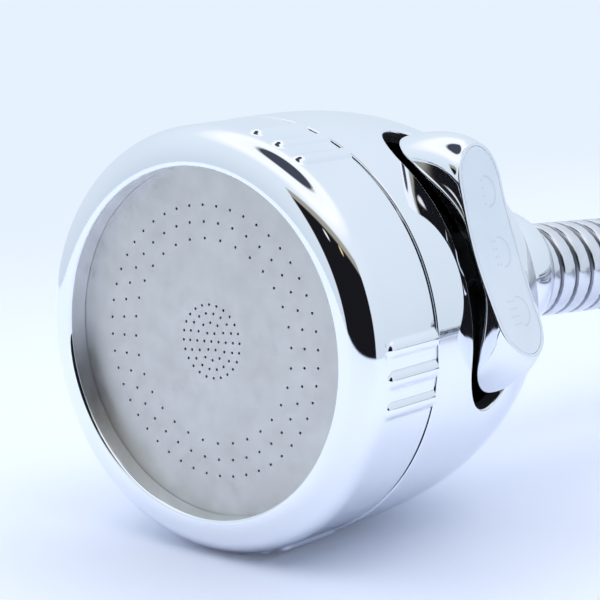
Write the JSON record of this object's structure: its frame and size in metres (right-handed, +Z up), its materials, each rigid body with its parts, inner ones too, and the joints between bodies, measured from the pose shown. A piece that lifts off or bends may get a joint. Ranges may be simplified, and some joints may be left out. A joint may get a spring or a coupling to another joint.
{
  "type": "handheld bath sprayer",
  "caption": "Hand-held bath spray head with a perforated plate, ribbed face ring and rocker lever on a ball swivel, with a coiled metal hose.",
  "frame": {"origin": "middle of the underside of the head's box, at the height of the surface it lies on", "axes": "+Y along the head's axis from the spray plate to the hose, +Z up, +X to the lever's side"},
  "size_m": [0.2452, 0.3466, 0.0551],
  "materials": {
    "chrome": "polished",
    "plate_steel": "satin",
    "hose_steel": "polished",
    "lever_satin": "satin",
    "black_plastic": "matte",
    "white_plastic": "matte",
    "seal_rubber": "matte",
    "liner": "matte",
    "brass": "plain",
    "pin_steel": "plain"
  },
  "bodies": {
    "hose": {"hose_nipple": "brass", "hose_front": "hose_steel", "hose_lead": "hose_steel", "hose_coil": "hose_steel", "hose_tail": "hose_steel", "hose_liner": "liner", "end_ferrule": "chrome", "end_nipple": "brass", "end_nut": "chrome", "end_washer": "seal_rubber", "inlet_filter": "pin_steel"},
    "swivel_cup": {"socket_cup": "chrome", "ball_seat": "white_plastic", "ball_seal": "seal_rubber", "cup_nut": "brass"},
    "ball": {"ball_stud": "brass", "stud_seal": "seal_rubber"},
    "head": {"core_housing": "black_plastic", "body_shell": "chrome", "valve_seat": "white_plastic", "port_seals": "seal_rubber", "seat_screws": "pin_steel", "distributor": "white_plastic", "centre_seal": "seal_rubber", "pin_seal": "seal_rubber", "neck_nut": "chrome"},
    "lever": {"lever": "chrome", "lever_plate": "lever_satin", "lever_pin": "pin_steel", "crank_arm": "white_plastic"},
    "selector": {"selector_disc": "white_plastic"},
    "plate_carrier": {"spray_plate": "plate_steel", "plate_gasket": "seal_rubber"},
    "ring": {"face_ring": "chrome"}
  },
  "joints": [
    {"name": "cup_spin", "type": "hinge", "parent": "hose", "child": "swivel_cup", "pos_m": [-0.00271, 0.02761, 0.02765], "axis": [0.1592, 0.9861, -0.0481], "continuous": true},
    {"name": "ball_swing", "type": "hinge", "parent": "swivel_cup", "child": "ball", "pos_m": [-0.00271, 0.02761, 0.02765], "axis": [0.289, 0, 0.9573], "range_deg": [-27.6, 8.4]},
    {"name": "head_spin", "type": "hinge", "parent": "ball", "child": "head", "pos_m": [-0.00271, 0.02761, 0.02765], "axis": [0, 1, 0], "continuous": true},
    {"name": "lever_rock", "type": "hinge", "parent": "head", "child": "lever", "pos_m": [0.01594, -0.00889, 0.03615], "axis": [0, 1, 0], "range_deg": [-13, 11]},
    {"name": "selector_turn", "type": "hinge", "parent": "head", "child": "selector", "pos_m": [-0.00271, -0.02189, 0.02765], "axis": [0, 1, 0], "range_deg": [-8, 9.5]},
    {"name": "plate_lift", "type": "slide", "parent": "head", "child": "plate_carrier", "axis": [0, -1, 0], "range_m": [0, 0.005]},
    {"name": "ring_turn", "type": "hinge", "parent": "plate_carrier", "child": "ring", "pos_m": [-0.00271, -0.02889, 0.02765], "axis": [0, -1, 0], "range_deg": [0, 900]}
  ],
  "couplings": [
    {"joint": "selector_turn", "follows": "lever_rock", "ratio": -0.70833},
    {"joint": "plate_lift", "follows": "ring_turn", "m_per_rad": 0.00031831}
  ]
}
